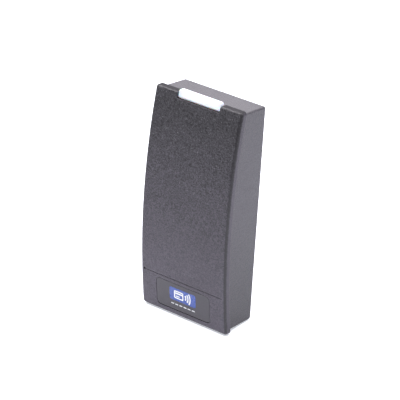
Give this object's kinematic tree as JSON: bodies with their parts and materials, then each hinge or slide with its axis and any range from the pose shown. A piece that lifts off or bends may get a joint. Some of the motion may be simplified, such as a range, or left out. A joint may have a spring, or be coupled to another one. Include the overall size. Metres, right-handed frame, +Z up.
{
  "type": "rfid card reader",
  "caption": "Slim wall-mounted proximity card reader with a bowed textured front, a light bar at the top and screw terminals behind.",
  "frame": {"origin": "on the wall plane, midway between the mounting plate's two screw slots, which is the middle of the reader's height and width", "axes": "+X to the right seen from the front, +Y into the wall, +Z up; the reader's front faces -Y"},
  "size_m": [0.048, 0.0225, 0.1042],
  "materials": {
    "cover_plastic": "fine-textured charcoal polycarbonate",
    "badge_plastic": "smoother satin charcoal polycarbonate",
    "badge_blue": "deep blue printed film under clear coat",
    "light_diffuser": "milky white translucent acrylic",
    "housing_plastic": "charcoal polycarbonate, light spark texture",
    "plate_plastic": "black polycarbonate",
    "board_green": "green solder mask on glass-epoxy laminate",
    "copper_trace": "copper under solder mask",
    "copper_winding": "enamelled copper wire",
    "led_white": "white LED package",
    "tin_contact": "tinned brass",
    "terminal_plastic": "green polyamide",
    "terminal_steel": "zinc-plated steel",
    "label_silver": "silver polyester film",
    "brass": "turned brass",
    "screw_steel": "black-oxide steel",
    "washer_nylon": "natural nylon",
    "chip_black": "black epoxy package",
    "crystal_can": "plated metal can",
    "ferrite_grey": "ferrite",
    "capacitor_tan": "ceramic",
    "sounder_black": "black moulded case",
    "sensor_clear": "dark infrared-pass epoxy",
    "potting_resin": "black casting resin"
  },
  "bodies": {
    "mounting_base": {"mounting_plate": "plate_plastic", "screw_insert": "brass"},
    "reader": {"front_cover": "cover_plastic", "badge_plate": "badge_plastic", "badge_tile": "badge_blue", "light_pipe": "light_diffuser", "housing": "housing_plastic", "main_board": "board_green", "hf_antenna": "copper_trace", "lf_coil": "copper_winding", "status_leds": "led_white", "terminal_contacts": "tin_contact", "terminal_block_left": "terminal_plastic", "terminal_block_right": "terminal_plastic", "rating_label": "label_silver", "microcontroller": "chip_black", "credential_module": "chip_black", "radio_chip": "chip_black", "crystals": "crystal_can", "inductors": "ferrite_grey", "capacitors": "capacitor_tan", "resistors": "chip_black", "voltage_regulator": "chip_black", "sounder": "sounder_black", "tamper_sensor": "sensor_clear", "potting": "potting_resin"},
    "captive_washer": {"screw_washer": "washer_nylon"},
    "security_screw": {"security_screw": "screw_steel"},
    "terminal_screw_1": {"terminal_screw_1": "terminal_steel"},
    "terminal_clamp_1": {"terminal_clamp_1": "tin_contact"},
    "terminal_screw_2": {"terminal_screw_2": "terminal_steel"},
    "terminal_clamp_2": {"terminal_clamp_2": "tin_contact"},
    "terminal_screw_3": {"terminal_screw_3": "terminal_steel"},
    "terminal_clamp_3": {"terminal_clamp_3": "tin_contact"},
    "terminal_screw_4": {"terminal_screw_4": "terminal_steel"},
    "terminal_clamp_4": {"terminal_clamp_4": "tin_contact"},
    "terminal_screw_5": {"terminal_screw_5": "terminal_steel"},
    "terminal_clamp_5": {"terminal_clamp_5": "tin_contact"},
    "terminal_screw_6": {"terminal_screw_6": "terminal_steel"},
    "terminal_clamp_6": {"terminal_clamp_6": "tin_contact"},
    "terminal_screw_7": {"terminal_screw_7": "terminal_steel"},
    "terminal_clamp_7": {"terminal_clamp_7": "tin_contact"},
    "terminal_screw_8": {"terminal_screw_8": "terminal_steel"},
    "terminal_clamp_8": {"terminal_clamp_8": "tin_contact"}
  },
  "joints": [
    {"name": "reader_swing", "type": "hinge", "parent": "mounting_base", "child": "reader", "pos_m": [0, 0, 0.0499], "axis": [-1, 0, 0], "range_deg": [0, 25]},
    {"name": "screw_travel", "type": "slide", "parent": "mounting_base", "child": "captive_washer", "axis": [0, 0, -1], "range_m": [0, 0.00508]},
    {"name": "screw_turn", "type": "hinge", "parent": "captive_washer", "child": "security_screw", "pos_m": [0, -0.0054, -0.0491], "axis": [0, 0, -1], "range_deg": [0, 2890]},
    {"name": "terminal_turn_1", "type": "hinge", "parent": "reader", "child": "terminal_screw_1", "pos_m": [-0.01285, -0.0049, 0.0145], "axis": [0, 1, 0], "range_deg": [0, 1630]},
    {"name": "terminal_lift_1", "type": "slide", "parent": "reader", "child": "terminal_clamp_1", "axis": [0, -1, 0], "range_m": [0, 0.00158]},
    {"name": "terminal_turn_2", "type": "hinge", "parent": "reader", "child": "terminal_screw_2", "pos_m": [-0.00935, -0.0049, 0.0145], "axis": [0, 1, 0], "range_deg": [0, 1630]},
    {"name": "terminal_lift_2", "type": "slide", "parent": "reader", "child": "terminal_clamp_2", "axis": [0, -1, 0], "range_m": [0, 0.00158]},
    {"name": "terminal_turn_3", "type": "hinge", "parent": "reader", "child": "terminal_screw_3", "pos_m": [-0.00585, -0.0049, 0.0145], "axis": [0, 1, 0], "range_deg": [0, 1630]},
    {"name": "terminal_lift_3", "type": "slide", "parent": "reader", "child": "terminal_clamp_3", "axis": [0, -1, 0], "range_m": [0, 0.00158]},
    {"name": "terminal_turn_4", "type": "hinge", "parent": "reader", "child": "terminal_screw_4", "pos_m": [-0.00235, -0.0049, 0.0145], "axis": [0, 1, 0], "range_deg": [0, 1630]},
    {"name": "terminal_lift_4", "type": "slide", "parent": "reader", "child": "terminal_clamp_4", "axis": [0, -1, 0], "range_m": [0, 0.00158]},
    {"name": "terminal_turn_5", "type": "hinge", "parent": "reader", "child": "terminal_screw_5", "pos_m": [0.00235, -0.0049, 0.0145], "axis": [0, 1, 0], "range_deg": [0, 1630]},
    {"name": "terminal_lift_5", "type": "slide", "parent": "reader", "child": "terminal_clamp_5", "axis": [0, -1, 0], "range_m": [0, 0.00158]},
    {"name": "terminal_turn_6", "type": "hinge", "parent": "reader", "child": "terminal_screw_6", "pos_m": [0.00585, -0.0049, 0.0145], "axis": [0, 1, 0], "range_deg": [0, 1630]},
    {"name": "terminal_lift_6", "type": "slide", "parent": "reader", "child": "terminal_clamp_6", "axis": [0, -1, 0], "range_m": [0, 0.00158]},
    {"name": "terminal_turn_7", "type": "hinge", "parent": "reader", "child": "terminal_screw_7", "pos_m": [0.00935, -0.0049, 0.0145], "axis": [0, 1, 0], "range_deg": [0, 1630]},
    {"name": "terminal_lift_7", "type": "slide", "parent": "reader", "child": "terminal_clamp_7", "axis": [0, -1, 0], "range_m": [0, 0.00158]},
    {"name": "terminal_turn_8", "type": "hinge", "parent": "reader", "child": "terminal_screw_8", "pos_m": [0.01285, -0.0049, 0.0145], "axis": [0, 1, 0], "range_deg": [0, 1630]},
    {"name": "terminal_lift_8", "type": "slide", "parent": "reader", "child": "terminal_clamp_8", "axis": [0, -1, 0], "range_m": [0, 0.00158]}
  ],
  "couplings": [
    {"joint": "screw_turn", "follows": "screw_travel", "rad_per_m": 9894.8},
    {"joint": "terminal_turn_1", "follows": "terminal_lift_1", "rad_per_m": 17952},
    {"joint": "terminal_turn_2", "follows": "terminal_lift_2", "rad_per_m": 17952},
    {"joint": "terminal_turn_3", "follows": "terminal_lift_3", "rad_per_m": 17952},
    {"joint": "terminal_turn_4", "follows": "terminal_lift_4", "rad_per_m": 17952},
    {"joint": "terminal_turn_5", "follows": "terminal_lift_5", "rad_per_m": 17952},
    {"joint": "terminal_turn_6", "follows": "terminal_lift_6", "rad_per_m": 17952},
    {"joint": "terminal_turn_7", "follows": "terminal_lift_7", "rad_per_m": 17952},
    {"joint": "terminal_turn_8", "follows": "terminal_lift_8", "rad_per_m": 17952}
  ]
}
